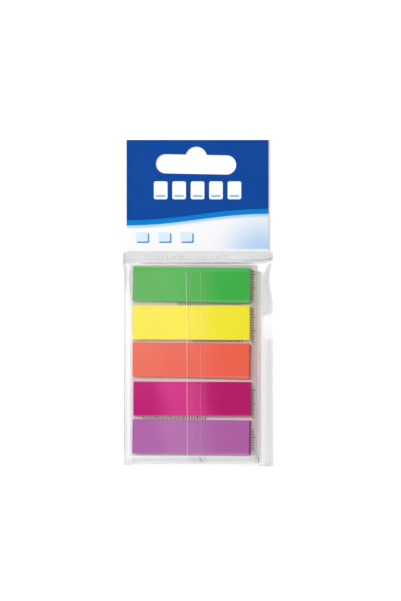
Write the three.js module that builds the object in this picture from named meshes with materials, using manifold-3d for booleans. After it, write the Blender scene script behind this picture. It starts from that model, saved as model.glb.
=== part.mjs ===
// Five pads of page-marker sticky notes in a clear hang bag.
// Millimetres: +X to the right, +Y up towards the hang slot, +Z out of the front.
// The pack lies on its back, and the origin is under the middle of the bag.
import * as THREE from 'three';
import { mergeVertices } from 'three/addons/utils/BufferGeometryUtils.js';
import Module from 'manifold-3d';

const wasm = await Module();
wasm.setup();

// Bag: a back and a front web of clear film, welded along the sides, the bottom and one cross band
const filmThickness = 0.1;
const bagLean = 0.4; // how far the bottom end stands to the right of the top end
const bottomSkew = 0.4; // how much higher the bottom edge is cut at its left corner
const sideWeld = 0.7;
const bottomWeld = 0.3;
const crossSealHeight = 4.1;
const filmSlack = 0.25; // room between the front web and the highest piece in the pocket
const pocketLeftRoom = 2.4; // from the left edge of the bag to the backing card
const pocketRightRoom = 6.1;
const pocketTopRoom = 0.9; // from the cross seal down to the backing card
const pocketFootRoom = 1.2;

// Header card between the two webs, with the hang slot punched through all three
const headerCardHeight = 41.2;
const headerCardThickness = 0.4;
const headerCardRoom = 0.2; // from the edge of the card out to where the front web leaves it
const slotLength = 29.6;
const slotHeight = 7.1;
const slotLobeRadius = 4;
const slotLobeRise = 2.95; // how far the round lobe stands above the straight part
const slotDepth = 9; // from the top edge down to the middle of the straight part
const slotShift = -0.55;
const slotTilt = THREE.MathUtils.degToRad(-1.1);

// Backing card that carries the pads, and how far it shows past them
const backingThickness = 0.45;
const backingLeftRim = 1.25;
const backingRightRim = 2.45;
const backingTopRim = 0.65;
const backingFootRim = 3.45;

// Pads: each is a stack of 26 film sheets, glued to the card by its lowest one
const padLength = 43;
const padWidth = 12.5;
const sheetThickness = 0.056;
const sheetsInPad = 26;
const padGap = 1.6;
const pads = [
  { name: 'pad_green', color: 0x39b04a, turn: -0.5, slide: [0, 0], lean: [0.1, -0.2] },
  { name: 'pad_yellow', color: 0xf2e23c, turn: -0.15, slide: [0, 0.05], lean: [0.1, -0.15] },
  { name: 'pad_coral', color: 0xee6a52, turn: -0.5, slide: [0.15, 0.05], lean: [-0.1, -0.2] },
  { name: 'pad_magenta', color: 0xc32a78, turn: -0.3, slide: [0.35, 0], lean: [0.1, -0.2] },
  { name: 'pad_violet', color: 0xab64a5, turn: -0.7, slide: [0.1, 0], lean: [0.15, -0.25] },
];

// Sleeve: one strip of clear film wrapped round card and pads, its right flap glued over its left
const sleeveThickness = 0.1;
const sleeveTopInset = 2.2; // from the top edge of the card down to the sleeve
const sleeveFootInset = 0.4;
const sleeveLeftRoom = 0.35;
const sleeveRightRoom = 1.9;
const leftFlapEnd = 1;
const lapWidth = 4.9;
const lapRise = 0.2;
const lapStep = 0.3;
const sleeveEndHeight = 0.25; // height of the front ply over the card at its bottom end
const padClearance = 0.35;

// Front web: how far in from each weld it climbs to its full height, and its folds
const leftClimb = 2.9;
const rightClimb = 7;
const topClimb = 1.9;
const bottomClimb = 2;
const headerDrop = 0.5;
const cardCover = 0.1;
const billowHeight = 0.22;
const billowLengthX = 47;
const billowLengthY = 31;
const pleatHeight = 0.3;
const pleatPitch = 3.4;
const pleatReach = 6;
const pleatSlant = 0.7;

// Where the pull of the contents draws the two side edges in, below the cross seal
const pullZone = 8;
const leftPull = { depth: 0.75, below: 5.8, reach: 12 };
const rightPull = { depth: 1.25, below: 6.3, reach: 9 };
const skewZone = 10;

// Heights of the layers
const sleeveBackZ = filmThickness;
const backingZ = sleeveBackZ + sleeveThickness;
const backingTopZ = backingZ + backingThickness;
const padThickness = sheetThickness * sheetsInPad;
const padTopZ = backingTopZ + padThickness;
const lapTopZ = padTopZ + sleeveThickness + lapRise;
const pocketLoft = lapTopZ + filmSlack - filmThickness;

// Outer sizes, from what is inside
const padsHeight = pads.length * padWidth + (pads.length - 1) * padGap;
const backingWidth = backingLeftRim + padLength + backingRightRim;
const backingHeight = backingTopRim + padsHeight + backingFootRim;
const bagWidth = pocketLeftRoom + backingWidth + pocketRightRoom;
const pocketHeight = pocketTopRoom + backingHeight + pocketFootRoom;
const bagHeight = headerCardHeight + crossSealHeight + pocketHeight;

// Edges and lines of the bag
const bagSide = bagWidth / 2;
const bagTop = bagHeight / 2;
const weldSide = bagSide - sideWeld;
const weldFoot = -bagTop + bottomWeld;
const headerCardBottom = bagTop - headerCardHeight;
const sealTop = headerCardBottom - cardCover - headerDrop;
const sealBottom = headerCardBottom - crossSealHeight;
const headerFlatSide = weldSide - headerDrop;
const headerCardWidth = 2 * (headerFlatSide - headerCardRoom);

const clamp01 = (value) => Math.min(1, Math.max(0, value));
const climb = (distance, length) => Math.sin((Math.PI / 2) * clamp01(distance / length));
const easeIn = (value) => clamp01(value) ** 2 * (3 - 2 * clamp01(value));
const bell = (value) => (Math.abs(value) < 1 ? 0.5 + 0.5 * Math.cos(Math.PI * value) : 0);

// Middle of the bag at height y, which moves to the right on the way down
const middleAt = (y) => -bagLean * (y / bagHeight);

// Where a point of the flat film lies once the side edges are drawn in and the bottom is cut askew
function placeOnBag(s, y) {
  const edge = easeIn((Math.abs(s) - (bagSide - pullZone)) / pullZone);
  const pull = s < 0 ? leftPull : rightPull;
  const inward = pull.depth * bell((sealBottom - pull.below - y) / pull.reach) * edge;
  const skew = bottomSkew * (0.5 - s / bagWidth) * easeIn((skewZone - bagTop - y) / skewZone);
  return [middleAt(y) + s - Math.sign(s) * inward, y + skew];
}

// Underside of the front web: flat on the header card and the welds, raised over the pads
function frontWebUnderside(s, y) {
  if (y >= sealTop) {
    const side = clamp01((weldSide - Math.abs(s)) / headerDrop);
    const foot = clamp01((y - sealTop) / headerDrop);
    return filmThickness + headerCardThickness * Math.min(side, foot);
  }
  const across = climb(s + weldSide, leftClimb) * climb(weldSide - s, rightClimb);
  const along = climb(sealBottom - y, topClimb) * climb(y - weldFoot, bottomClimb);
  const raised = across * along;
  const billow = 0.5 + 0.5 * Math.sin(2 * Math.PI * (s / billowLengthX + y / billowLengthY));
  const depth = (sealBottom - y) / pleatReach;
  const fan = Math.abs(s) - pleatSlant * (sealBottom - y);
  const pleat = (0.5 + 0.5 * Math.cos((2 * Math.PI * fan) / pleatPitch)) * Math.exp(-depth * depth);
  const folds = billowHeight * billow + pleatHeight * pleat;
  return filmThickness + pocketLoft * raised ** 0.75 + folds * raised;
}

// Grid lines through the given stops, no further apart than each stretch's own step
function gridLines(stops, steps) {
  const lines = [stops[0]];
  for (let i = 1; i < stops.length; i += 1) {
    const count = Math.max(1, Math.ceil((stops[i] - stops[i - 1]) / steps[i - 1]));
    for (let k = 1; k <= count; k += 1) {
      lines.push(stops[i - 1] + ((stops[i] - stops[i - 1]) * k) / count);
    }
  }
  return lines;
}

const columns = gridLines(
  [-bagSide, -weldSide, -headerFlatSide, leftClimb - weldSide, weldSide - rightClimb,
    headerFlatSide, weldSide, bagSide],
  [1, 1, 0.6, 3, 0.9, 1, 1],
);
const rows = gridLines(
  [-bagTop, weldFoot, weldFoot + bottomClimb, sealBottom - pleatReach, sealBottom - topClimb,
    sealBottom, sealTop, sealTop + headerDrop, bagTop],
  [1, 0.45, 2.8, 1, 0.4, 3, 1, 20],
);

// A closed geometry from a list of corners and a list of triangles
function closedGeometry(corners, triangles) {
  const geometry = new THREE.BufferGeometry();
  geometry.setAttribute('position', new THREE.Float32BufferAttribute(corners.flat(), 3));
  geometry.setIndex(triangles.flat());
  return geometry;
}

// The two triangles of a quad whose corners run anticlockwise seen from outside
const quad = (a, b, c, d) => [[a, b, c], [a, c, d]];

// A sheet of film over the grid, with its underside at the given height
function filmSheet(underside, thickness) {
  const wide = columns.length;
  const corners = [];
  for (const top of [0, thickness]) {
    for (const y of rows) {
      for (const s of columns) {
        const [x, placedY] = placeOnBag(s, y);
        corners.push([x, placedY, underside(s, y) + top]);
      }
    }
  }
  const layer = wide * rows.length;
  const low = (i, j) => j * wide + i;
  const high = (i, j) => layer + low(i, j);
  const triangles = [];
  for (let j = 0; j + 1 < rows.length; j += 1) {
    for (let i = 0; i + 1 < wide; i += 1) {
      triangles.push(...quad(high(i, j), high(i + 1, j), high(i + 1, j + 1), high(i, j + 1)));
      triangles.push(...quad(low(i, j), low(i, j + 1), low(i + 1, j + 1), low(i + 1, j)));
    }
    triangles.push(...quad(low(0, j), high(0, j), high(0, j + 1), low(0, j + 1)));
    const last = wide - 1;
    triangles.push(...quad(low(last, j), low(last, j + 1), high(last, j + 1), high(last, j)));
  }
  for (let i = 0; i + 1 < wide; i += 1) {
    triangles.push(...quad(low(i, 0), low(i + 1, 0), high(i + 1, 0), high(i, 0)));
    const end = rows.length - 1;
    triangles.push(...quad(low(i, end), high(i, end), high(i + 1, end), low(i + 1, end)));
  }
  return closedGeometry(corners, triangles);
}

// Outline of the hang slot: a pill with a round lobe on top, tilted a little
function slotOutline() {
  const endRadius = slotHeight / 2;
  const straight = slotLength / 2 - endRadius;
  const lobeMiddle = endRadius + slotLobeRise - slotLobeRadius;
  const lobeAngle = Math.asin((endRadius - lobeMiddle) / slotLobeRadius);
  const outline = new THREE.Shape();
  outline.moveTo(-straight, -endRadius);
  outline.lineTo(straight, -endRadius);
  outline.absarc(straight, 0, endRadius, -Math.PI / 2, Math.PI / 2);
  outline.absarc(0, lobeMiddle, slotLobeRadius, lobeAngle, Math.PI - lobeAngle);
  outline.absarc(-straight, 0, endRadius, Math.PI / 2, (3 * Math.PI) / 2);
  const slotY = bagTop - slotDepth;
  const middle = new THREE.Vector2(middleAt(slotY) + slotShift, slotY);
  return outline
    .getPoints(10)
    .map((point) => point.rotateAround(new THREE.Vector2(), slotTilt).add(middle));
}

// A flat sheet with the hang slot through it
function slottedSheet(outline, thickness) {
  const shape = new THREE.Shape(outline);
  shape.holes.push(new THREE.Path(slotOutline()));
  return new THREE.ExtrudeGeometry(shape, { depth: thickness, bevelEnabled: false });
}

function toSolid(geometry) {
  const bare = geometry.clone();
  bare.deleteAttribute('normal');
  bare.deleteAttribute('uv');
  const merged = mergeVertices(bare, 1e-5);
  return new wasm.Manifold(new wasm.Mesh({
    numProp: 3,
    vertProperties: new Float32Array(merged.attributes.position.array),
    triVerts: new Uint32Array(merged.index.array),
  }));
}

function toGeometry(solid) {
  const mesh = solid.getMesh();
  const geometry = new THREE.BufferGeometry();
  geometry.setAttribute('position', new THREE.BufferAttribute(mesh.vertProperties, 3));
  geometry.setIndex(new THREE.BufferAttribute(mesh.triVerts, 1));
  return geometry;
}

function backFilm() {
  const left = rows.map((y) => new THREE.Vector2(...placeOnBag(-bagSide, y)));
  const right = rows.map((y) => new THREE.Vector2(...placeOnBag(bagSide, y)));
  return slottedSheet([...right, ...left.reverse()], filmThickness);
}

function frontFilm() {
  const punch = new THREE.ExtrudeGeometry(new THREE.Shape(slotOutline()), {
    depth: headerCardThickness + 4 * filmThickness,
    bevelEnabled: false,
  });
  const web = toSolid(filmSheet(frontWebUnderside, filmThickness));
  return toGeometry(web.subtract(toSolid(punch)));
}

const headerMiddle = middleAt(bagTop - headerCardHeight / 2);

function headerCard() {
  const left = headerMiddle - headerCardWidth / 2;
  const right = headerMiddle + headerCardWidth / 2;
  const corners = [[left, headerCardBottom], [right, headerCardBottom], [right, bagTop], [left, bagTop]];
  return slottedSheet(corners.map(([x, y]) => new THREE.Vector2(x, y)), headerCardThickness);
}

const backingLeft = -bagSide + pocketLeftRoom;
const backingRight = backingLeft + backingWidth;
const backingBottom = -bagTop + pocketFootRoom;
const backingTop = backingBottom + backingHeight;
const padsLeft = backingLeft + backingLeftRim;
const padsRight = padsLeft + padLength;
const padsTop = backingTop - backingTopRim;

// The backing card, a plain sheet with its corners cut square
const backingCard = () => new THREE.BoxGeometry(backingWidth, backingHeight, backingThickness);

// A pad stands on z = 0 and leans a little, as a stack of slippery sheets does
function padStack(lean) {
  const stack = new THREE.BoxGeometry(padLength, padWidth, padThickness);
  stack.translate(0, 0, padThickness / 2);
  const shear = new THREE.Matrix4();
  shear.elements[8] = lean[0] / padThickness;
  shear.elements[9] = lean[1] / padThickness;
  return stack.applyMatrix4(shear);
}

// Middle line of the sleeve's section in x and z, from the left flap's end round to the right flap's
function sleeveLine(frontZ) {
  const half = sleeveThickness / 2;
  const leftFold = backingLeft - sleeveLeftRoom;
  const rightFold = backingRight + sleeveRightRoom;
  const front = frontZ + half;
  const back = sleeveBackZ + half;
  const shoulder = backingTopZ + (front - backingTopZ) * 0.45;
  const foldZ = back + sleeveLeftRoom;
  const line = new THREE.Path();
  line.moveTo(leftFlapEnd, front);
  line.lineTo(padsLeft - padClearance, front);
  line.quadraticCurveTo(leftFold, shoulder, leftFold, foldZ);
  line.quadraticCurveTo(leftFold, back, leftFold + sleeveLeftRoom, back);
  line.lineTo(rightFold - sleeveLeftRoom, back);
  line.quadraticCurveTo(rightFold, back, rightFold, foldZ);
  line.quadraticCurveTo(rightFold, front, padsRight + padClearance, front);
  line.lineTo(leftFlapEnd + 2 * lapStep, front);
  line.lineTo(leftFlapEnd + lapStep, front + lapRise);
  line.lineTo(leftFlapEnd - lapWidth, front + lapRise);
  return line.getPoints(6);
}

// Closed ring of the section: the middle line set off by half the film to either side
function sleeveRing(frontZ) {
  const line = sleeveLine(frontZ);
  const offsets = line.map((point, i) => {
    const before = point.clone().sub(line[Math.max(0, i - 1)]).normalize();
    const after = line[Math.min(line.length - 1, i + 1)].clone().sub(point).normalize();
    const along = before.add(after).normalize();
    return new THREE.Vector2(along.y, -along.x).multiplyScalar(sleeveThickness / 2);
  });
  const outer = line.map((point, i) => point.clone().add(offsets[i]));
  const inner = line.map((point, i) => point.clone().sub(offsets[i]));
  return [...outer, ...inner.reverse()];
}

// The sleeve hangs level over the pads and sags towards the card below the last one
function sleeveTube() {
  const bottom = backingBottom + sleeveFootInset;
  const lastPad = pads.at(-1);
  const sway = Math.sin(THREE.MathUtils.degToRad(Math.abs(lastPad.turn))) * (padLength / 2);
  const sagStart = padsTop - padsHeight - sway + lastPad.lean[1] - padClearance;
  const levels = [[bottom, 0], [(2 * bottom + sagStart) / 3, 0.4], [(bottom + 2 * sagStart) / 3, 0.85],
    [sagStart, 1], [backingTop - sleeveTopInset, 1]];
  const endZ = backingTopZ + sleeveEndHeight;
  const rings = levels.map(([, level]) => sleeveRing(endZ + (padTopZ - endZ) * level));
  const count = rings[0].length;
  const corners = rings.flatMap((ring, j) => ring.map((point) => [point.x, levels[j][0], point.y]));
  const triangles = [];
  for (let j = 0; j + 1 < rings.length; j += 1) {
    for (let i = 0; i < count; i += 1) {
      const next = (i + 1) % count;
      triangles.push(...quad(j * count + i, (j + 1) * count + i, (j + 1) * count + next, j * count + next));
    }
  }
  const cap = (ring) => THREE.ShapeUtils.triangulateShape(ring, []);
  const far = (rings.length - 1) * count;
  triangles.push(...cap(rings[0]));
  triangles.push(...cap(rings.at(-1)).map(([a, b, c]) => [far + a, far + c, far + b]));
  return closedGeometry(corners, triangles);
}

const part = new THREE.Group();

function addPiece(name, geometry, look, place = [0, 0, 0], turn = 0) {
  const mesh = new THREE.Mesh(geometry, new THREE.MeshStandardMaterial(look));
  mesh.name = name;
  mesh.position.set(...place);
  mesh.rotation.z = THREE.MathUtils.degToRad(turn);
  part.add(mesh);
}

const clearFilm = { color: 0xe9ebee, roughness: 0.12, metalness: 0, transparent: true, opacity: 0.25 };
const headerPrint = { color: 0x074797, roughness: 0.4, metalness: 0 };
const backingBoard = { color: 0xd6d2d7, roughness: 0.6, metalness: 0 };

addPiece('back_film', backFilm(), clearFilm);
addPiece('header_card', headerCard(), headerPrint, [0, 0, filmThickness]);
addPiece('front_film', frontFilm(), clearFilm);
addPiece('dispenser_sleeve', sleeveTube(), clearFilm);
addPiece('backing_card', backingCard(), backingBoard, [
  (backingLeft + backingRight) / 2,
  (backingBottom + backingTop) / 2,
  backingZ + backingThickness / 2,
]);

pads.forEach(({ name, color, turn, slide, lean }, index) => {
  const x = (padsLeft + padsRight) / 2 + slide[0];
  const y = padsTop - padWidth / 2 - index * (padWidth + padGap) + slide[1];
  addPiece(name, padStack(lean), { color, roughness: 0.35, metalness: 0 }, [x, y, backingTopZ], turn);
});

export default part;
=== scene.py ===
# Page-marker sticky notes in a clear hang bag, lying on their back and seen from straight above
import math

import bpy
import numpy as np
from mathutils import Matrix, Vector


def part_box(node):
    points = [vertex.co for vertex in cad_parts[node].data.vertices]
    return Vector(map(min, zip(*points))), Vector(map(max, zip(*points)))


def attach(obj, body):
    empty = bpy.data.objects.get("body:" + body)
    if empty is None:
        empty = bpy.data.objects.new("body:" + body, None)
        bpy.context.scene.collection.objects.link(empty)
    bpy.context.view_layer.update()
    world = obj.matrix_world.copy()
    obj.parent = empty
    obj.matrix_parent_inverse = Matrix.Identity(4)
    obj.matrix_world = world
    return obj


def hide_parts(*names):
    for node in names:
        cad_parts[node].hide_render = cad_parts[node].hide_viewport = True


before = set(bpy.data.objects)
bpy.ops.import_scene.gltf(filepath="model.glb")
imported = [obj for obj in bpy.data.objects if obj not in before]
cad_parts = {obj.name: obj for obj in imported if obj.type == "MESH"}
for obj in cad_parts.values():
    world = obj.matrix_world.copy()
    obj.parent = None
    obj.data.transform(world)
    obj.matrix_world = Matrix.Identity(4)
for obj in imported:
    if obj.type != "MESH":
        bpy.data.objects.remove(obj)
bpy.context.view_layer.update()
mm = 0.001

# Studio: the pack lies on a pale floor, with the camera straight above. Light comes softly from all
# round, from a large lamp like a window and from a long one. Floor and sky look white to the eye.
photo_width_px, photo_height_px = 401, 601
photo_scale = 2.71
pack_middle_px = (197.9, 303.1)
camera_height = 0.9
view_x = (photo_width_px / 2 - pack_middle_px[0]) / photo_scale * mm
view_y = (pack_middle_px[1] - photo_height_px / 2) / photo_scale * mm

camera = bpy.data.objects.new("camera", bpy.data.cameras.new("camera"))
bpy.context.collection.objects.link(camera)
camera.location = (view_x, view_y, camera_height)
camera.data.lens = camera.data.sensor_width * camera_height / (photo_height_px / photo_scale * mm)
camera.data.clip_start = 0.01
bpy.context.scene.camera = camera
bpy.context.scene.view_settings.view_transform = "Standard"
bpy.context.scene.cycles.transparent_max_bounces = 32


class Wire:
    """A value, vector or colour on its way through a material's nodes."""

    def __init__(self, tree, socket):
        self.tree, self.socket = tree, socket

    def node(self, kind, settings=None, inputs=None, output=0):
        made = self.tree.nodes.new(kind)
        for name, value in (settings or {}).items():
            setattr(made, name, value)
        for name, value in (inputs or {}).items():
            if isinstance(value, Wire):
                self.tree.links.new(value.socket, made.inputs[name])
            else:
                made.inputs[name].default_value = value
        return Wire(self.tree, made.outputs[output])

    def math(self, operation, *values):
        return self.node("ShaderNodeMath", {"operation": operation}, dict(enumerate(values)))

    def __add__(self, other):
        return self.math("ADD", self, other)

    def __sub__(self, other):
        return self.math("SUBTRACT", self, other)

    def __rsub__(self, other):
        return self.math("SUBTRACT", other, self)

    def __mul__(self, other):
        return self.math("MULTIPLY", self, other)

    def __truediv__(self, other):
        return self.math("DIVIDE", self, other)

    def __pow__(self, other):
        return self.math("POWER", self, other)

    def __abs__(self):
        return self.math("ABSOLUTE", self)

    __radd__ = __add__
    __rmul__ = __mul__

    def least(self, other):
        return self.math("MINIMUM", self, other)

    def most(self, other):
        return self.math("MAXIMUM", self, other)

    def sine(self):
        return self.math("SINE", self)

    def ease(self, start, end):
        """0 at start and 1 at end, with soft turns."""
        span = {"Value": self, "From Min": start, "From Max": end}
        return self.node("ShaderNodeMapRange", {"interpolation_type": "SMOOTHSTEP"}, span)

    def band(self, low, high, soft):
        """1 between low and high, and 0 outside, over soft edges."""
        return self.ease(low - soft, low + soft) * (1 - self.ease(high - soft, high + soft))

    def noise(self, scale, detail=2.0, rough=0.5):
        """Noise about 0.5, for a place in millimetres."""
        look = {"Vector": self, "Scale": scale, "Detail": detail, "Roughness": rough}
        return self.node("ShaderNodeTexNoise", None, look)

    def stretch(self, x, y, z):
        factors = {0: self, 1: (x, y, z)}
        return self.node("ShaderNodeVectorMath", {"operation": "MULTIPLY"}, factors)

    def paint(self, colour, mask):
        """This colour, with another one laid on where the mask is 1."""
        settings = {"data_type": "RGBA", "clamp_factor": True}
        return self.node("ShaderNodeMix", settings, {0: mask, 6: self, 7: colour}, 2)


def srgb(red, green, blue):
    """A colour as the eye reads it, 0 to 255, in the linear values that a material takes."""
    parts = [c / 255 for c in (red, green, blue)]
    return tuple(c / 12.92 if c <= 0.04045 else ((c + 0.055) / 1.055) ** 2.4 for c in parts) + (1,)


def new_finish(name, **plain):
    """A material, its shader, the place on it in millimetres, and that place's x, y and z."""
    made = bpy.data.materials.new(name)
    made.use_nodes = True
    tree = made.node_tree
    shader = tree.nodes["Principled BSDF"]
    for socket, value in plain.items():
        shader.inputs[socket.replace("_", " ")].default_value = value
    metres = Wire(tree, tree.nodes.new("ShaderNodeTexCoord").outputs["Object"])
    where = metres.stretch(1 / mm, 1 / mm, 1 / mm)
    split = where.node("ShaderNodeSeparateXYZ", None, {0: where}).socket.node
    return made, shader, where, [Wire(tree, out) for out in split.outputs]


def feed(shader, **links):
    """Joins values to the shader's sockets."""
    for socket, value in links.items():
        value.tree.links.new(value.socket, shader.inputs[socket.replace("_", " ")])


def lamp(name, place, size, power):
    made = bpy.data.objects.new(name, bpy.data.lights.new(name, "AREA"))
    made.data.shape = "RECTANGLE"
    made.data.size, made.data.size_y = size
    made.data.energy = power
    made.location = place
    aim = Vector((0, 0, 0)) - made.location
    made.rotation_euler = aim.to_track_quat("-Z", "Y").to_euler()
    bpy.context.collection.objects.link(made)


lamp("window_lamp", place=(-0.66, 0.34, 0.7), size=(0.7, 0.7), power=10.3)
lamp("left_strip", place=(-0.75, 0.0, 0.35), size=(0.9, 0.08), power=1.0)


def seen(wire):
    """1 for what the eye sees straight, in a gloss or through glass."""
    path = wire.tree.nodes.new("ShaderNodeLightPath")
    direct, gloss, through = (
        Wire(wire.tree, path.outputs[f"Is {ray} Ray"]) for ray in ("Camera", "Glossy", "Transmission")
    )
    return direct.most(gloss).most(through)


soft_light = 0.432
sky = bpy.data.worlds.new("sky")
sky.use_nodes = True
bpy.context.scene.world = sky
sky_shader = sky.node_tree.nodes["Background"]
sky_start = Wire(sky.node_tree, None)
sky_level = seen(sky_start) * (1 - soft_light) + soft_light
sky_shader.inputs["Color"].default_value = (1, 1, 1, 1)
sky.node_tree.links.new(sky_level.socket, sky_shader.inputs["Strength"])

floor_half, floor_below = 3.0, 0.05 * mm
floor_grey = srgb(232, 232, 232)
floor_glow_strength, floor_glow_near, floor_glow_rise = 0.75, 0.4, (150, 900)
floor_turns = [(-1, -1), (1, -1), (1, 1), (-1, 1)]
floor_corners = [(x * floor_half, y * floor_half, -floor_below) for x, y in floor_turns]
floor_mesh = bpy.data.meshes.new("floor")
floor_mesh.from_pydata(floor_corners, [], [(0, 1, 2, 3)])
floor = bpy.data.objects.new("floor", floor_mesh)
bpy.context.collection.objects.link(floor)
floor_finish, floor_shader, floor_place, _ = new_finish("pale_floor", Roughness=0.9)
floor_shader.inputs["Base Color"].default_value = floor_grey
floor_shader.inputs["Specular IOR Level"].default_value = 0.0
floor_shader.inputs["Emission Strength"].default_value = floor_glow_strength
away = floor_place.node("ShaderNodeVectorMath", {"operation": "LENGTH"}, {0: floor_place}, 1)
floor_level = away.ease(*floor_glow_rise) * (1 - floor_glow_near) + floor_glow_near
floor_glow = seen(floor_place) * floor_level
feed(floor_shader, Emission_Color=floor_glow)
floor_mesh.materials.append(floor_finish)

# Backing card: pale grey uncoated board, cut square, that the pads are stuck to. It is printed with
# plain rows of fine dark ticks between the pads and up the right side. Its solid is kept as it is.
card_low, card_high = (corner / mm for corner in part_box("backing_card"))
board_pale, board_shade = srgb(232, 230, 232), srgb(206, 200, 205)
panel_shade, painted_gap_light, foot_white = srgb(210, 201, 198), srgb(232, 223, 217), srgb(250, 250, 250)
panel_left, panel_right, panel_foot = -24.0, 22.0, (-56.1, -55.7)
between_left, between_right, light_below = -23.4, 20.0, (-13.5, -10.5)
white_below = (-56.5, -56.0)
tick_ink, gap_ink_share = srgb(52, 44, 44), 0.85
tick_pitch, tick_thick, tick_short, tick_long = 1.0, 0.2, 0.95, 1.4
gap_rows = [(-7.7, 16.3, -0.75), (-1.8, 17.0, -14.5), (-20.2, 3.4, -43.1)]
side_rows = [(0.6, 12.4), (-15.2, -1.8), (-42.2, -31.3), (-54.5, -46.5)]
side_rows_foot = 19.75
# The lighter tone of each film, for the film's painted sheen and for the painted light that each pad
# throws on the board.
pad_light_tone = {
    "green": (78, 180, 78), "yellow": (246, 233, 66), "coral": (233, 104, 84),
    "magenta": (213, 36, 136), "violet": (183, 111, 173),
}
painted_pad_light_share = {"green": 0.2, "yellow": 0.2, "coral": 0.24, "magenta": 0.08, "violet": 0.04}
painted_light_reach = 0.6


def bump(height, depth):
    """A normal from a height, which is 1 at depth millimetres above 0."""
    return height.node("ShaderNodeBump", None, {"Height": height, "Distance": depth * mm, "Strength": 1.0})


def scale_ticks(along, across, start, end, foot):
    """A row of ticks from start to end, standing on foot, with each fifth one longer."""
    middle = abs(along.math("PINGPONG", along - start, tick_pitch / 2))
    fifth = abs(along.math("PINGPONG", along - start, tick_pitch * 2.5))
    tick = 1 - middle.ease(tick_thick, tick_thick + 0.08)
    tall = 1 - fifth.ease(tick_pitch * 0.45, tick_pitch * 0.55)
    height = tall * (tick_long - tick_short) + tick_short
    inside = along.band(start, end, 0.1) * across.ease(foot - 0.05, foot + 0.05)
    return tick * inside * (1 - (across - foot - height).ease(-0.05, 0.05))


def board_finish():
    """Fibrous board, darker over its inner panel, with painted light between the lower pads and, beside
    each pad, painted light in its colour.
    """
    made, shader, where, (x, y, _) = new_finish("backing_board", Roughness=0.62)
    fibre = where.stretch(1, 3, 1).noise(2.2, 5, 0.65)
    cloud = where.noise(0.09, 2)
    colour = where.node("ShaderNodeRGB")
    colour.socket.default_value = board_pale
    colour = colour.paint(board_shade, fibre.ease(0.35, 0.75) * 0.35 + cloud.ease(0.4, 0.7) * 0.25)
    panel = x.band(panel_left, panel_right, 0.3) * y.ease(*panel_foot)
    colour = colour.paint(panel_shade, panel)
    # Painted light: the board is lighter between the lower pads, and beside each pad it takes painted
    # light in the pad's own colour.
    between = x.band(between_left, between_right, 0.6) * panel
    colour = colour.paint(painted_gap_light, between * (1 - y.ease(*light_below)))
    for name, share in painted_pad_light_share.items():
        low, high = (corner[1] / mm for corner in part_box(f"pad_{name}"))
        near = y.band(low - painted_light_reach, high + painted_light_reach, 0.8)
        colour = colour.paint(srgb(*pad_light_tone[name]), near * between * share)
    colour = colour.paint(foot_white, 1 - y.ease(*white_below))
    for left, right, foot in gap_rows:
        colour = colour.paint(tick_ink, scale_ticks(x, y, left, right, foot) * gap_ink_share)
    for low, high in side_rows:
        colour = colour.paint(tick_ink, scale_ticks(y, x, low, high, side_rows_foot))
    feed(shader, Base_Color=colour, Normal=bump(fibre, 0.01))
    return made


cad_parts["backing_card"].data.materials.clear()
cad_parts["backing_card"].data.materials.append(board_finish())


# Pads: each is twenty-six loose sheets of coloured film, die cut and stuck together along one end.
# The stacks are a little turned and lean over, and their sheets slip, bow and in some fan out.
sheets_in_pad = 26
pad_length, pad_width = 43.0, 12.5
sheet_air, top_air = 0.014, 0.04
sheet_slip, most_slip, sheet_twist = 0.025, 0.05, 0.05
sheet_bow = 0.03
seed_step = 7
film_over_board = (214, 206, 196)
smooth_below = math.radians(40)


def mesh_piece(name, corners, faces, finish):
    """A piece of the pack from corners in millimetres and their faces."""
    made = bpy.data.meshes.new(name)
    made.from_pydata((np.asarray(corners) * mm).tolist(), [], faces)
    made.materials.append(finish)
    made.shade_smooth()
    made.set_sharp_from_angle(angle=smooth_below)
    piece = bpy.data.objects.new(name, made)
    bpy.context.collection.objects.link(piece)
    return piece


def slab_faces(wide, deep, start):
    """Faces of a closed slab of two grids of wide by deep corners, the lower one first."""
    layer = wide * deep
    index = start + np.arange(layer).reshape(deep, wide)
    a, b, c, d = (index[:-1, :-1], index[:-1, 1:], index[1:, 1:], index[1:, :-1])
    low = np.stack([a, d, c, b], -1).reshape(-1, 4)
    high = np.stack([a, b, c, d], -1).reshape(-1, 4) + layer
    rim = np.concatenate([index[0, :], index[1:, -1], index[-1, -2::-1], index[-2:0:-1, 0]])
    after = np.roll(rim, -1)
    side = np.stack([rim, after, after + layer, rim + layer], -1)
    return np.concatenate([low, high, side]).tolist()


# turn and fan are in degrees, slide and lean in millimetres. left and right are the film's colours
# towards its ends, and mirrored is the tint that the pad throws on the sleeve beside it.
pads = {
    "green": dict(
        turn=-0.5, fan=-1.1, slide=0.0, lean=(0.1, -0.06), left=(74, 174, 66), right=(58, 172, 68),
        mirrored=(196, 200, 172),
    ),
    "yellow": dict(
        turn=-0.15, fan=-0.2, slide=-0.15, lean=(-0.2, 0.0), left=(246, 230, 54), right=(238, 227, 46),
        mirrored=(214, 198, 164),
    ),
    "coral": dict(
        turn=-0.5, fan=-1.1, slide=0.28, lean=(-0.4, -0.06), left=(234, 108, 86), right=(234, 98, 76),
        mirrored=(230, 188, 186),
    ),
    "magenta": dict(
        turn=-0.3, fan=0.0, slide=0.0, lean=(-0.35, -0.06), left=(188, 22, 114), right=(180, 8, 100),
        mirrored=(214, 192, 206),
    ),
    "violet": dict(
        turn=-0.7, fan=0.0, slide=0.12, lean=(-0.75, -0.1), left=(174, 102, 168), right=(174, 96, 164),
        mirrored=(212, 196, 210),
    ),
}


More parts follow.
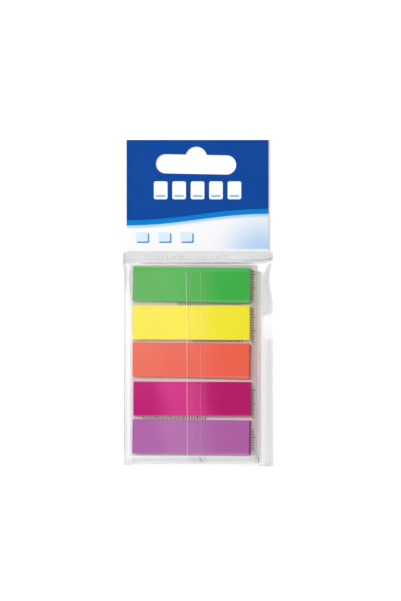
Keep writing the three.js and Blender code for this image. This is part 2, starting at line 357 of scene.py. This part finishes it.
def pad_finish(name, look, x_left, x_right, y_middle):
    """Tinted film with a painted sheen in a slanted band across the loose middle, faint draw lines and a
    paler lower edge.
    """
    made, shader, where, (x, y, _) = new_finish(f"{name}_film", Roughness=0.42)
    shader.inputs["Specular IOR Level"].default_value = 0.06
    draw = where.stretch(1.8, 0.05, 1).noise(1.0, 3)
    cloud = where.noise(0.11, 1)
    colour = where.node("ShaderNodeRGB")
    colour.socket.default_value = srgb(*look["left"])
    colour = colour.paint(srgb(*look["right"]), (x + cloud * 10).ease(x_left + 22, x_right - 2))
    # Painted sheen: a lighter band slanting across the film's loose middle.
    slant = x + (y - y_middle) * 0.35 + cloud * 3
    middle = slant.ease(x_left + 8, x_left + 15) * (1 - slant.ease(x_left + 21, x_left + 33))
    light_tone = srgb(*pad_light_tone[name])
    colour = colour.paint(light_tone, middle * 0.8 + draw.ease(0.45, 0.75) * middle * 0.2)
    rim = (abs(y - y_middle) * -1 + pad_width / 2).ease(0.0, 0.9)
    colour = colour.paint(light_tone, (1 - rim) * 0.3)
    thin = [(film + board) / 2 for film, board in zip(pad_light_tone[name], film_over_board)]
    colour = colour.paint(srgb(*thin), (y_middle - pad_width / 2 - y).ease(-0.6, 0.5) * 0.6)
    feed(shader, Base_Color=colour, Roughness=cloud * 0.2 + 0.32, Normal=bump(draw, 0.012))
    return made


def sheet_stack(name, look):
    """All the sheets of one pad, each a thin closed slab with its own small slip and bow."""
    low, high = (np.array(corner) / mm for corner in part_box(f"pad_{name}"))
    random = np.random.default_rng(len(name) * seed_step)
    lean = np.array(look["lean"])
    foot = (low + high)[:2] / 2 - lean / 2 + (0, look["slide"])
    turn, fan = math.radians(look["turn"]), math.radians(look["fan"])
    pitch = (high[2] - low[2] - top_air) / sheets_in_pad
    along = np.linspace(-pad_length / 2, pad_length / 2, 19)
    across = np.linspace(-pad_width / 2, pad_width / 2, 5)
    u, v = np.meshgrid(along, across)
    corners, faces = [], []
    for count in range(sheets_in_pad):
        rise = count / (sheets_in_pad - 1)
        slip = np.clip(random.normal(0, sheet_slip, 2), -most_slip, most_slip)
        angle = turn + fan * (1 - rise**4) + math.radians(random.normal(0, sheet_twist))
        swing = np.array([math.cos(angle) - math.cos(turn), math.sin(angle) - math.sin(turn)])
        middle = foot + lean * rise + slip + swing * pad_length / 2
        bow = sheet_bow * rise * (0.5 + 0.5 * np.sin(u / 9 + count * 0.15)) * ((v / across[-1]) ** 2)
        for top in (0, pitch - sheet_air):
            x = middle[0] + u * math.cos(angle) - v * math.sin(angle)
            y = middle[1] + u * math.sin(angle) + v * math.cos(angle)
            z = low[2] + count * pitch + top + bow
            corners.append(np.stack([x, y, z], -1).reshape(-1, 3))
        faces += slab_faces(len(along), len(across), count * 2 * u.size)
    finish = pad_finish(name, look, low[0], high[0], foot[1])
    return mesh_piece(f"marker_pad_{name}", np.concatenate(corners), faces, finish)


for pad_name, pad_look in pads.items():
    stack = sheet_stack(pad_name, pad_look)
    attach(stack, "root")
    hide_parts(f"pad_{pad_name}")


# Sleeve: one strip of clear film wrapped round card and pads, open at both ends. Its right flap is
# glued over its left one. Its cut edges carry painted highlights, and below the last pad the film sags.
sleeve_low, sleeve_high = (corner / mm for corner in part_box("dispenser_sleeve"))
board_top_z = card_high[2]
pad_top_z = max(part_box(f"pad_{name}")[1][2] for name in pads) / mm
back_web_top = 0.1
ply, ply_gap = 0.06, 0.05
lap_left, lap_right = -3.95, 1.0
lap_rise, lap_step = 0.12, 0.6
flare_foot, flare_height, flare_width = 9.9, 1.9, 1.7
lap_slant, lap_slant_middle = 0.0056, -23
fold_room, slack_right = 0.35, 1.9
comb_pitch = 0.7
left_rim, right_rim, foot_rim = 1.25, 2.45, 3.45
pads_left, pads_right = card_low[0] + left_rim, card_high[0] - right_rim
sag_below_pads, sagging_film = 0.86, 0.25
side_wave, film_ripple = 0.12, 0.05
sag_start = card_low[1] + foot_rim - sag_below_pads


def clear_film(name, layers, relief=None):
    """Clear film: what is behind shows through, but for a gloss that grows with the tilt and a thin
    veil made of layers, each a mask, how dense it is and its colour. A relief bends its gloss."""
    made, shader, where, place = new_finish(name)
    shader.inputs["IOR"].default_value = 1.5
    tilt = where.node("ShaderNodeLayerWeight", None, {"Blend": 0.5}, 1)
    gloss = tilt**3 * 0.4 + 0.001
    haze = where.noise(0.08, 2) * 0.002
    colour = where.node("ShaderNodeRGB")
    colour.socket.default_value = srgb(250, 250, 252)
    for mask, dense, tone in layers(where, *place):
        haze = haze + mask * dense
        colour = colour.paint(srgb(*tone), mask)
    smear = where.stretch(1, 0.4, 1).noise(0.35, 2)
    feed(shader, Base_Color=colour, Roughness=smear * 0.12 + 0.05)
    feed(shader, Alpha=(gloss + haze).least(0.98), Metallic=gloss / (gloss + haze))
    if relief:
        feed(shader, Normal=relief(where, *place))
    return made


def crease(along, across, start, end, middle, slope=0.0, bow=0.0, half=0.15, soft=1.5):
    """1 on a fine bent line that runs from start to end, fading out over soft at both."""
    far = along - (start + end) / 2
    away = abs(across - (far * slope + far * far * bow + middle))
    return (1 - away.ease(half * 0.4, half * 1.6)) * along.band(start, end, soft)


def lap_edge_shift(y, in_flare):
    """How far to the left the flap's cut edge has moved at height y: it slants, and flares at its top."""
    return in_flare**3 * flare_width + (y - lap_slant_middle) * lap_slant


def bend(start, pull, end, count=8):
    """Points on a smooth bend from start to end, drawn towards pull."""
    t = np.linspace(0, 1, count + 1)[1:, None]
    start, pull, end = (np.array(p, float) for p in (start, pull, end))
    return (1 - t) ** 2 * start + 2 * t * (1 - t) * pull + t**2 * end


def run(start, end, step=1.2):
    """Points on a straight run from start to end."""
    start, end = np.array(start, float), np.array(end, float)
    count = max(1, round(float(np.abs(end - start).max()) / step))
    return start + (end - start) * (np.arange(1, count + 1) / count)[:, None]


def soft_step(value):
    """0 up to 0 and 1 from 1 on, with soft turns."""
    value = np.clip(value, 0, 1)
    return value * value * (3 - 2 * value)


def sleeve_line(front, y):
    """The film's line at height y, in x and z, from the left flap's end round to the right flap's."""
    left_fold, right_fold = card_low[0] - fold_room, card_high[0] + slack_right
    left_turn, right_turn = pads_left - fold_room, pads_right + fold_room
    back = back_web_top + ply_gap
    shoulder = board_top_z + (front - board_top_z) * 0.45
    flap_end = lap_left - lap_edge_shift(y, max(0.0, (y - flare_foot) / flare_height))
    flap_front = front + lap_rise
    start = np.array([[lap_right, front]])
    points = [
        start,
        run(start[0], (left_turn, front)),
        bend((left_turn, front), (left_fold, shoulder), (left_fold, back + fold_room)),
        bend((left_fold, back + fold_room), (left_fold, back), (left_fold + fold_room, back)),
        run((left_fold + fold_room, back), (right_fold - fold_room, back)),
        bend((right_fold - fold_room, back), (right_fold, back), (right_fold, back + fold_room)),
        bend((right_fold, back + fold_room), (right_fold, front), (right_turn, front), 14),
        run((right_turn, front), (lap_right + 2 * lap_step, front)),
        run((lap_right + 2 * lap_step, front), (lap_right + lap_step, flap_front), 0.1),
        run((lap_right + lap_step, flap_front), (flap_end, flap_front)),
    ]
    return np.concatenate(points)


def film_ring(line, y):
    """A closed ring at height y round the film's line, half a ply to each side of it."""
    ahead = np.gradient(line, axis=0)
    ahead /= np.linalg.norm(ahead, axis=1, keepdims=True)
    off = np.stack([ahead[:, 1], -ahead[:, 0]], -1) * ply / 2
    ring = np.concatenate([line + off, (line - off)[::-1]])
    return np.stack([ring[:, 0], np.full(len(ring), y), ring[:, 1]], -1)


def sleeve_mesh():
    """Corners and faces of the wrapped strip, ring by ring from its lower end to its upper one."""
    foot, top = sleeve_low[1], sleeve_high[1]
    sag = np.linspace(foot, sag_start, 10)
    body = np.arange(sag_start + 1, top - 1.7, 1.0)
    flared = np.linspace(top - 1.6, top, 9)
    rings = []
    for y in np.concatenate([sag, body, flared]):
        end_z = board_top_z + sagging_film + ply_gap
        front = end_z + (pad_top_z + ply_gap - end_z) * soft_step((y - foot) / (sag_start - foot))
        line = sleeve_line(front, y)
        x, z = line.T
        raised = np.clip((z - board_top_z) / (pad_top_z - board_top_z), 0, 1)
        ripple = 0.5 + 0.5 * np.sin(x / 5.3 + y / 7.1) * np.sin(x / 11 - y / 16)
        side = np.clip((x - pads_right) / 2, 0, 1) * raised
        pull = -side_wave * side * (1 + np.sin(y / 4.1))
        rings.append(film_ring(line + np.stack([pull, film_ripple * raised * ripple], -1), y))
    count = len(rings[0])
    index = np.arange(len(rings) * count).reshape(len(rings), count)
    after = np.roll(index, -1, axis=1)
    faces = np.stack([index[:-1], index[1:], after[1:], after[:-1]], -1).reshape(-1, 4).tolist()
    half = count // 2
    for ring, flip in ((index[0], False), (index[-1], True)):
        for i in range(half - 1):
            face = [int(ring[j]) for j in (i, i + 1, count - 2 - i, count - 1 - i)]
            faces.append(face[::-1] if flip else face)
    return np.concatenate(rings), faces


def sleeve_layers(where, x, y, z):
    """Painted sheen over the pads, painted shade and reflections beside them, the fold's veil on the
    right, painted highlights on the cut edges, and painted highlights and shade along creases.
    """
    high = z.ease(pad_top_z - 0.5, pad_top_z - 0.1)
    single = 1 - x.band(lap_left, lap_right, 0.1) * high * 0.5
    end_strip = 1 - y.ease(-56.9, -56.1)
    up_left = (1 - x.ease(-20, 14)) * y.ease(-40, 0) * single
    centre = x.band(-14, 2, 3.5) * y.band(-60, -27, 3) * single
    comb_patches = where.stretch(0.3, 0.08, 1).noise(1.0, 1).ease(0.4, 0.6)
    comb = (x * (2 * math.pi / comb_pitch)).sine().ease(0.2, 0.9) * comb_patches
    streak = where.stretch(1.9, 0.015, 1).noise(1.0, 2).ease(0.42, 0.6)
    fold = x.ease(19.9, 21.4) * (1 - x.ease(22.9, 23.3)) * (1 - end_strip * 0.8)
    flap = x + lap_edge_shift(y, ((y - flare_foot) / flare_height).most(0.0))
    loose = x.band(lap_left + 0.3, 4.5, 0.8)
    end = y.band(sleeve_high[1] - 0.25, sleeve_high[1] + 1, 0.1)
    white, dull, pale = (255, 255, 255), (190, 178, 170), (214, 208, 200)
    olive, painted_shade_tone, brown, warm_painted_shade = (120, 116, 96), (132, 116, 98), (96, 80, 76), (160, 94, 70)
    # Each layer is a mask, how dense it is there and its colour.
    # Painted sheen: a whiter veil to the upper left, over the middle, in streaks on the loose flap, and
    # over the strip below the pads.
    sheen = [
        (up_left, 0.04, white),
        (centre, 0.01, white),
        (loose * streak * high * single, 0.005, white),
        (end_strip * x.band(-25.5, 21.8, 0.2), 0.32, white),
    ]
    # Painted shade on the film beside the pads' right ends, then a darker veil over the fold on the right
    # that is partly its extra plies of film and partly painted shade.
    right_side = [
        (x.ease(18.9, 20.6) * (1 - x.ease(21.3, 21.9)) * (1 - end_strip), 0.1, painted_shade_tone),
        (fold, 0.07, dull),
        (fold * streak, 0.06, pale),
    ]
    # Painted highlights: white lines along the upper flap's cut edge and a fainter one beside it, along
    # the lower flap's edge with a faint comb of lines next to it, and along the top end.
    cut_edges = [
        (flap.band(lap_left - 0.25, lap_left + 0.1, 0.1) * high, 0.13, white),
        (flap.band(lap_left + 1.2, lap_left + 1.4, 0.08) * high, 0.02, white),
        (x.band(lap_right - 0.12, lap_right + 0.12, 0.08) * high, 0.04, white),
        (comb * x.band(lap_right + 0.3, lap_right + 2.6, 0.3) * high, 0.02, white),
        (end * high, 0.05, white),
    ]
    # Painted shade and highlights along creases: an olive line up the right fold, a white and a brown line
    # at the lower right, and a brown and a white line where the lower flap's corner curls.
    creases = [
        (crease(y, x, -2, 13, 22.5, 0.0, -0.004, 0.12), 0.12, olive),
        (crease(y, x, -60, -56.4, 21.75, 0.0, 0.0, 0.16, 0.4), 0.5, white),
        (crease(y, x, -59.6, -56.2, 22.4, 0.0, 0.0, 0.16, 0.4), 0.26, brown),
        (crease(y, x, -59.1, -56.7, 1.1, -0.75, 0.39, 0.11, 0.2), 0.16, brown),
        (crease(y, x, -59.2, -56.6, 2.1, -0.7, 0.3, 0.14, 0.3), 0.3, white),
    ]
    # Painted reflections of each pad in the film beside its right end, then a warm painted shade along the
    # pads' right ends.
    mirrored = []
    for name, look in pads.items():
        low, high = (corner[1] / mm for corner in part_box(f"pad_{name}"))
        beside = x.ease(18.6, 20.2) * y.band(low - painted_light_reach, high + painted_light_reach, 1.1)
        mirrored.append((beside, 0.02, look["mirrored"]))
    mirrored.append((x.band(19.6, 20.9, 0.4) * (1 - end_strip) * 0.6, 0.01, warm_painted_shade))
    return sheen + right_side + cut_edges + creases + mirrored


sleeve = mesh_piece("film_sleeve", *sleeve_mesh(), clear_film("sleeve_film", sleeve_layers))
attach(sleeve, "root")
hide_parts("dispenser_sleeve")

# Header card: coated card, printed in blues on white, held between the two webs of the bag.
# The print is a plain wavy field with a row of blank tabs and a few small blank pads.
header_low, header_high = (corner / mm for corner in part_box("header_card"))
field_blue, stripe_blue, pale_blue = srgb(0, 68, 151), srgb(0, 124, 202), srgb(150, 194, 233)
card_white, tab_white, pad_white = srgb(241, 241, 243), srgb(246, 248, 252), srgb(214, 230, 246)
coat_white, back_grey = srgb(255, 255, 255), srgb(225, 224, 222)
wave_up, wave_high, wave_long, wave_slope = 13.6, 1.3, 13.5, 0.035
tab_count, tab_pitch, tabs_left, tabs_up = 5, 6.8, -13.6, 22.6
tab_half, tab_corner = (2.5, 3.3), 0.7
tab_line_half, tab_line_corner, tab_line_drop = (1.75, 0.45), 0.3, 2.1
little_pad_count, little_pad_pitch, little_pads_left, little_pads_up = 3, 8.2, -20.5, 5.4
little_pad_half, little_pad_under_half, little_pad_corner = (2.2, 1.7), (2.3, 1.8), 0.5
little_pad_shift = 0.4


def rounded(x, y, middle, half, radius, edge=0.07):
    """1 inside a rounded rectangle."""
    side = (abs(x - middle[0]) - (half[0] - radius)).most(0.0)
    rise = (abs(y - middle[1]) - (half[1] - radius)).most(0.0)
    away = (side * side + rise * rise) ** 0.5
    return 1 - away.ease(radius - edge, radius + edge)


def header_finish():
    """The print, from the pale corner up to the blue field, with tabs and pads laid over it."""
    made, shader, where, (x, y, z) = new_finish("header_print", Roughness=0.4)
    shader.inputs["Specular IOR Level"].default_value = 0.06
    middle = (header_low[0] + header_high[0]) / 2
    across, up = x - middle, y - header_low[1]
    colour = where.node("ShaderNodeRGB")
    colour.socket.default_value = card_white
    corner = ((across - 24) * (across - 24) + (up + 3) * (up + 3)) ** 0.5
    colour = colour.paint(pale_blue, (1 - corner.ease(2, 21)) * up.ease(0.4, 1.4) * 0.8)
    wave = (across / wave_long).sine() * wave_high + across * wave_slope + wave_up
    over = up - wave
    colour = colour.paint(pale_blue, over.ease(-3.4, -2.2) * 0.75)
    colour = colour.paint(stripe_blue, over.ease(-1.9, -1.75))
    colour = colour.paint(field_blue, over.ease(-0.05, 0.1))
    for count in range(tab_count):
        tab = (tabs_left + count * tab_pitch, tabs_up)
        line = (tab[0], tab[1] - tab_line_drop)
        colour = colour.paint(tab_white, rounded(across, up, tab, tab_half, tab_corner))
        colour = colour.paint(pale_blue, rounded(across, up, line, tab_line_half, tab_line_corner))
    for count in range(little_pad_count):
        pad = (little_pads_left + count * little_pad_pitch, little_pads_up)
        under = (pad[0] + little_pad_shift, pad[1] - little_pad_shift)
        under_mask = rounded(across, up, under, little_pad_under_half, little_pad_corner)
        colour = colour.paint(stripe_blue, under_mask)
        colour = colour.paint(pad_white, rounded(across, up, pad, little_pad_half, little_pad_corner))
    fibre = where.noise(3, 4)
    colour = colour.paint(coat_white, fibre.ease(0.62, 0.8) * 0.05)
    back = 1 - z.ease(0.3, 0.45)
    colour = colour.paint(back_grey, back)
    feed(shader, Base_Color=colour, Roughness=fibre * 0.15 + 0.33, Normal=bump(fibre, 0.006))
    return made


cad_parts["header_card"].data.materials.clear()
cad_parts["header_card"].data.materials.append(header_finish())

# Bag: two webs of clear film, hot-welded along the sides and the bottom and crimped across below
# the header. The back web lies flat, and the front one is drawn over the pads with pleats and waves.
bag_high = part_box("back_film")[1] / mm
bag_top = bag_high[1]
bag_side = 27.7
bag_lean, bottom_skew = 0.4, 0.4
side_weld, bottom_weld = 0.8, 0.3
seal_top, seal_bottom = header_low[1] - 0.6, header_low[1] - 4.1
header_drop, header_thickness = 0.5, 0.4
slack_on_header, slack_in_seal = 0.04, -0.02
rib_low, rib_high, rib_pitch = 16.2, 17.8, 1.0
weld_side = bag_side - side_weld
weld_foot = -bag_top + bottom_weld
web, solid_web = 0.06, 0.1
left_climb, right_climb, top_climb, bottom_climb = 2.9, 7.0, 1.9, 2.0
room_over_folds = 0.22
pocket_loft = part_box("front_film")[1][2] / mm - back_web_top - solid_web - room_over_folds
billow_high, billow_long_x, billow_long_y = 0.18, 47, 31
pleat_high, pleat_pitch, pleat_slant, pleat_fade = 0.3, 3.4, 0.7, 6
ripple_high, ripple_long_x, ripple_long_y, ripple_sway_long = 0.1, 1.4, 1.9, 5.1
right_margin, right_margin_rise, left_margin, left_margin_rise = 19, 3, 23, 2
pull_zone, skew_zone = 8, 10
left_pull, left_pull_loss, left_pull_rise, left_pull_long = 0.5, 0.2, 3.5, 50
right_pull, right_pull_drop, right_pull_half = 1.3, 6.3, 9
slot_half, slot_end_radius = 14.8, 3.55
lobe_radius, lobe_rise = 4.0, 2.95
slot_below_top, slot_left, slot_turn = 9, 0.55, math.radians(-1.1)
punch_low, punch_high = -2, 4


def climb(distance, length):
    """0 at no distance, rising ever more gently to 1 at this length."""
    return np.sin(np.pi / 2 * np.clip(distance / length, 0, 1))


def bell(value):
    """1 at 0, and 0 from 1 away on either side."""
    return np.where(np.abs(value) < 1, 0.5 + 0.5 * np.cos(np.pi * value), 0)


def place_on_bag(s, y):
    """Where a point of the flat web lies once its sides are drawn in and its bottom is cut askew."""
    edge = soft_step((np.abs(s) - (bag_side - pull_zone)) / pull_zone)
    left_now = left_pull - left_pull_loss * soft_step(-y / left_pull_long)
    left = soft_step((seal_bottom - y) / left_pull_rise) * left_now
    right = right_pull * bell((seal_bottom - right_pull_drop - y) / right_pull_half)
    inward = np.where(s < 0, left, right) * edge
    skew = bottom_skew * (0.5 - s / (2 * bag_side)) * soft_step((skew_zone - bag_top - y) / skew_zone)
    return -bag_lean * y / (2 * bag_top) + s - np.sign(s) * inward, y + skew


def front_web_height(s, y):
    """Underside of the front web over the header card, the welds and the pads."""
    side = np.clip((weld_side - np.abs(s)) / header_drop, 0, 1)
    foot = np.clip((y - seal_top) / header_drop, 0, 1)
    header = back_web_top + header_thickness * np.minimum(side, foot)
    across = climb(s + weld_side, left_climb) * climb(weld_side - s, right_climb)
    along = climb(seal_bottom - y, top_climb) * climb(y - weld_foot, bottom_climb)
    raised = across * along
    below = seal_bottom - y
    billow = 0.5 + 0.5 * np.sin(2 * np.pi * (s / billow_long_x + y / billow_long_y))
    fan = np.abs(s) - pleat_slant * below
    pleat = (0.5 + 0.5 * np.cos(2 * np.pi * fan / pleat_pitch)) * np.exp(-((below / pleat_fade) ** 2))
    sway = 1.3 * np.sin(y / ripple_sway_long)
    ripple = 0.5 + 0.5 * np.sin(y / ripple_long_y + sway) * np.sin(s / ripple_long_x)
    right = soft_step((s - right_margin) / right_margin_rise)
    left = soft_step((-s - left_margin) / left_margin_rise)
    folds = billow_high * billow + pleat_high * pleat + ripple_high * ripple * (right + left)
    pocket = back_web_top + (pocket_loft - back_web_top) * raised**0.75 + folds * raised
    return np.where(y >= seal_top, header, pocket)


def lines(stops, steps):
    """Grid lines through the stops, no further apart than each stretch's step."""
    made = [np.array([stops[0]])]
    for start, end, step in zip(stops, stops[1:], steps):
        count = max(1, math.ceil((end - start) / step - 1e-6))
        made.append(np.linspace(start, end, count + 1)[1:])
    return np.concatenate(made)


def slot_outline():
    """The hang slot's edge: a pill with a round lobe on top, turned a little."""
    straight = slot_half - slot_end_radius
    lobe_middle = slot_end_radius + lobe_rise - lobe_radius
    lobe_angle = math.asin((slot_end_radius - lobe_middle) / lobe_radius)

    def arc(middle, radius, start, end, count):
        angle = np.linspace(start, end, count)
        return np.stack([middle[0] + radius * np.cos(angle), middle[1] + radius * np.sin(angle)], -1)

    points = np.concatenate([
        arc((straight, 0), slot_end_radius, -math.pi / 2, math.pi / 2, 24),
        arc((0, lobe_middle), lobe_radius, lobe_angle, math.pi - lobe_angle, 28),
        arc((-straight, 0), slot_end_radius, math.pi / 2, 3 * math.pi / 2, 24),
    ])
    cosine, sine = math.cos(slot_turn), math.sin(slot_turn)
    turned = points @ np.array([[cosine, sine], [-sine, cosine]])
    slot_y = bag_top - slot_below_top
    return turned + (-bag_lean * slot_y / (2 * bag_top) - slot_left, slot_y)


def web_layers(where, x, y, z):
    """The crimped band below the header, the edge welds, the margins, painted shade along the creases
    between them and below the seal, and a painted reflection on the left rim.
    """
    grey, dull, dark, black = (186, 187, 189), (128, 128, 130), (110, 110, 112), (60, 40, 42)
    mauve, plum, umber, sage = (196, 186, 196), (180, 168, 184), (116, 96, 96), (150, 152, 140)
    white, pale = (255, 255, 255), (240, 241, 240)
    web_x = where.node("ShaderNodeAttribute", {"attribute_name": "across_web"}, None, 2)
    lift = ((x - 24.3).most(0.0) / 2.7) ** 2 * 0.7
    seal = (y - lift).ease(seal_bottom - 0.35, seal_bottom + 0.1) * (1 - y.ease(18.4, 19.1))
    below = 1 - y.ease(14.4, 15.4)
    crimp = y.band(rib_low + 0.15, rib_high - 0.15, 0.15)
    rib = (x * (2 * math.pi / rib_pitch)).sine().ease(-0.3, 0.3)
    broken = where.stretch(0.11, 0.05, 1).noise(1.0, 2).ease(0.44, 0.56)
    fine = where.stretch(0.04, 1.6, 1).noise(1.0, 2).ease(0.4, 0.65)
    ends = x.ease(16, 24) + (1 - x.ease(-25, -21))
    upper_edge = (x - (y - 3).most(0.0) ** 3 * 0.0015).ease(23.2, 24.0)
    upper = upper_edge * (y - (x - 23.6) * 0.35).ease(-5.6, -4.4) * (1 - y.ease(14.2, 15.2))
    lower = (x - (y + 15).most(0.0) * 0.3).ease(23.9, 24.9) * (1 - y.ease(-14.0, -12.6))
    streak = where.stretch(1.2, 0.05, 1).noise(1.0, 2).ease(0.4, 0.7)
    left = (1 - x.ease(-25.5, -25.1)) * below
    rim = x.band(-25.3, -24.2, 0.3) * (1 - y.ease(-2, 3))
    # Each layer is a mask, how dense it is there and its colour.
    margins = [
        (left, 0.065, grey),
        (left * streak, 0.04, grey),
        (left * (1 - y.ease(-30, -10)), 0.025, grey),
        (x.band(-25.4, -24.3, 0.25) * y.band(2, 14, 3), 0.13, plum),
        # Painted reflection: a pale veil on the film over the card's left rim.
        (rim, 0.11, pale),
        (abs(web_x).ease(27.2, 27.4) * below * (1 - x.ease(0, 1) * 0.9), 0.12, dark),
        (upper * (1 - x.ease(25.0, 27.0) * 0.4), 0.17, grey),
        (upper * streak, 0.02, dark),
        (lower * (1 - x.ease(25.6, 27.4) * 0.4), 0.11, grey),
        (x.ease(21.6, 23.2) * (1 - y.ease(-13, -4)), 0.03, grey),
        (x.ease(22.4, 23.6) * y.band(-4, 14, 2), 0.014, grey),
    ]
    cross_band = [
        (seal, 0.155, grey),
        (seal * fine, 0.03, grey),
        (seal * ends, 0.03, grey),
        (y.band(16.0, 18.0, 0.3), 0.025, grey),
        ((1 - x.ease(-26.5, -26.2) + x.ease(26.0, 26.3)) * y.ease(14, 16), 0.018, grey),
        ((1 - x.ease(-26.6, -26.0)) * y.band(16, 23, 2.5), 0.05, grey),
        (crimp * broken * (1 - rib), 0.07, dull),
        (crimp * broken * rib, 0.14, white),
        (y.band(15.75, 16.1, 0.12) * seal, 0.05, sage),
        # Painted shadow: dark lines just below the seal, where the film rises from the seal to the card.
        (crease(x, y, -20.5, 20, 14.75, 0.0, 0.0, 0.26, 2), 0.12, umber),
        (crease(x, y, -4, 16, 14.72, 0.0, 0.0, 0.22, 4), 0.1, black),
        (y.band(13.5, 14.6, 0.2) * x.band(-25.5, 21, 0.4), 0.05, mauve),
        (y.band(11.85, 13.5, 0.12) * x.band(-24, 19, 0.3), 0.02, white),
    ]
    # The crease lines among these are painted shade: two from the seal's left corner, one below its right
    # end and two down the right side.
    corners_and_foot = [
        (crease(y, x, 6, 14.6, -26.7, -0.1, -0.006, 0.26, 3), 0.09, dark),
        (crease(y, x, 8, 15.6, -26.1, -0.2, -0.012, 0.2, 1.5), 0.06, dark),
        (crease(x, y, 17, 27.5, 15.7, 0.1, 0.012, 0.2, 1), 0.05, dark),
        (y.band(-60.6, -58.6, 0.4) * x.ease(22, 23), 0.03, grey),
        ((1 - x.ease(-25.3, -24.9)) * (1 - y.ease(-57.8, -56.6)), 0.05, grey),
        (crease(y, x, 1, 13.5, 23.25, 0.05, 0.01, 0.12, 2), 0.12, dark),
        (crease(y, x, -12, -6, 25.4, 0.25, 0.0, 0.2, 2), 0.04, dark),
        (y.band(-60.6, -59.85, 0.12), 0.06, grey),
    ]
    return margins + cross_band + corners_and_foot


def crimp_relief(where, x, y, z):
    """The ribs that the sealing jaws press into the cross band, and the film's own unevenness."""
    ribs = (x * (2 * math.pi / rib_pitch)).sine() * y.band(rib_low, rib_high, 0.1)
    return bump(ribs + where.noise(0.5, 2) * 0.3, 0.04)


def front_web():
    """The draped web as a closed slab, with the hang slot punched out of it."""
    columns = lines(
        [-bag_side, -weld_side, header_drop - weld_side, left_climb - weld_side,
         weld_side - right_climb, weld_side - header_drop, weld_side, bag_side],
        [0.24, 0.13, 0.25, 0.75, 0.3, 0.13, 0.24],
    )
    rows = lines(
        [-bag_top, weld_foot, weld_foot + bottom_climb, seal_bottom - 8, seal_bottom - top_climb,
         seal_bottom, seal_top, seal_top + header_drop, bag_top],
        [0.3, 0.15, 0.5, 0.3, 0.13, 0.5, 0.13, 3.0],
    )
    s, y = np.meshgrid(columns, rows)
    x, placed = place_on_bag(s, y)
    over_seal = np.clip((y - seal_bottom) / (seal_top + header_drop - seal_bottom), 0, 1)
    slack = (slack_on_header - slack_in_seal) * over_seal + slack_in_seal
    under = front_web_height(s, y) + slack
    sides = [np.stack([x, placed, under + thick], -1).reshape(-1, 3) for thick in (0, web)]
    finish = clear_film("bag_film", web_layers, crimp_relief)
    faces = slab_faces(len(columns), len(rows), 0)
    piece = mesh_piece("bag_front_web", np.concatenate(sides), faces, finish)
    across = piece.data.attributes.new("across_web", "FLOAT", "POINT")
    across.data.foreach_set("value", np.tile(s.ravel(), 2))
    punch_slot(piece, finish)
    return piece


def punch_slot(piece, finish):
    """Cuts the hang slot out of a web."""
    outline = slot_outline()
    count = len(outline)
    corners = [(*point, z) for z in (punch_low, punch_high) for point in outline]
    around = [(i, (i + 1) % count, count + (i + 1) % count, count + i) for i in range(count)]
    caps = [tuple(range(count))[::-1], tuple(range(count, 2 * count))]
    punch = mesh_piece("slot_punch", corners, around + caps, finish)
    cut = piece.modifiers.new("slot", "BOOLEAN")
    cut.operation, cut.solver, cut.object = "DIFFERENCE", "EXACT", punch
    bpy.context.view_layer.update()
    evaluated = piece.evaluated_get(bpy.context.evaluated_depsgraph_get())
    shaped = bpy.data.meshes.new_from_object(evaluated)
    piece.modifiers.clear()
    piece.data = shaped
    shaped.shade_smooth()
    shaped.set_sharp_from_angle(angle=smooth_below)
    bpy.data.objects.remove(punch)


def back_layers(where, x, y, z):
    """A trace of haze: the back web lies flat and clear."""
    return [(where.noise(0.3, 2), 0.004, (250, 250, 252))]


front = front_web()
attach(front, "root")
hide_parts("front_film")
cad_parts["back_film"].data.materials.clear()
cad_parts["back_film"].data.materials.append(clear_film("bag_back_film", back_layers))
